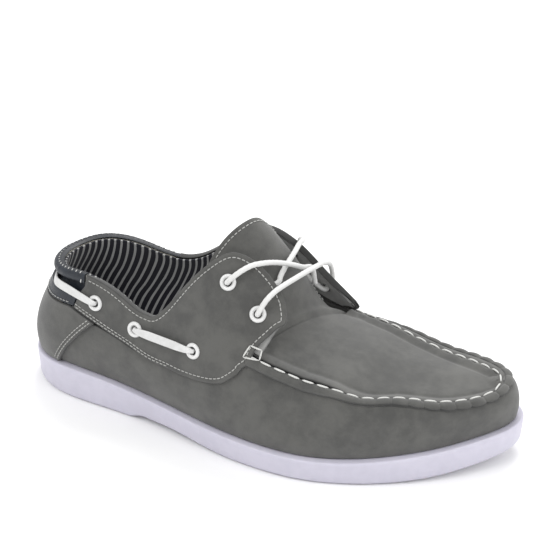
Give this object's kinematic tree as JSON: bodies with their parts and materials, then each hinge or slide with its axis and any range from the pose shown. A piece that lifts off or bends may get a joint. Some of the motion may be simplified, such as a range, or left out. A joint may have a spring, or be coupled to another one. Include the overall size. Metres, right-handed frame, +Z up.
{
  "type": "deck shoe",
  "caption": "Right low deck shoe for sailing: siped rubber sole, moccasin toe, leather saddles with lacing flaps, side thong and padded collar.",
  "frame": {"origin": "on the ground under the middle of the sole's box", "axes": "+X to the toe, +Y to the inner side of the foot, +Z up"},
  "size_m": [0.3002, 0.1098, 0.1231],
  "materials": {
    "nubuck": "matte",
    "navy_leather": "satin",
    "rubber": "matte",
    "lining_cloth": "matte",
    "footbed_cloth": "matte",
    "board": "matte",
    "foam": "matte",
    "white_eyelet": "satin",
    "lace_cloth": "matte"
  },
  "bodies": {
    "upper_and_sole": {"outsole": "rubber", "insole_board": "board", "heel_pad": "foam", "footbed": "footbed_cloth", "heel_stiffener": "board", "back_counter": "nubuck", "heel_patch": "navy_leather", "collar_foam": "foam", "collar_roll": "navy_leather", "vamp_wall": "nubuck", "toe_plug": "nubuck", "plug_lining": "lining_cloth", "saddle_outer": "nubuck", "saddle_inner": "nubuck", "flap_backing_outer": "navy_leather", "flap_backing_inner": "navy_leather", "quarter_lining_outer": "lining_cloth", "quarter_lining_inner": "lining_cloth", "vamp_lining": "lining_cloth", "side_thong": "lace_cloth", "front_lace": "lace_cloth", "lace_eyelet_outer_upper": "white_eyelet", "lace_eyelet_outer_lower": "white_eyelet", "lace_eyelet_inner_upper": "white_eyelet", "lace_eyelet_inner_lower": "white_eyelet", "side_eyelet_outer_front": "white_eyelet", "side_eyelet_outer_middle": "white_eyelet", "side_eyelet_outer_rear": "white_eyelet", "side_eyelet_inner_front": "white_eyelet", "side_eyelet_inner_middle": "white_eyelet", "side_eyelet_inner_rear": "white_eyelet"},
    "tongue": {"tongue": "nubuck", "tongue_lining": "lining_cloth"}
  },
  "joints": [
    {"name": "tongue_bend", "type": "hinge", "parent": "upper_and_sole", "child": "tongue", "pos_m": [0.0085, -0.0356, 0.0618], "axis": [0.3325, 0.9324, -0.1418], "range_deg": [-12, 0], "stiffness_Nm_per_rad": 0.3}
  ]
}
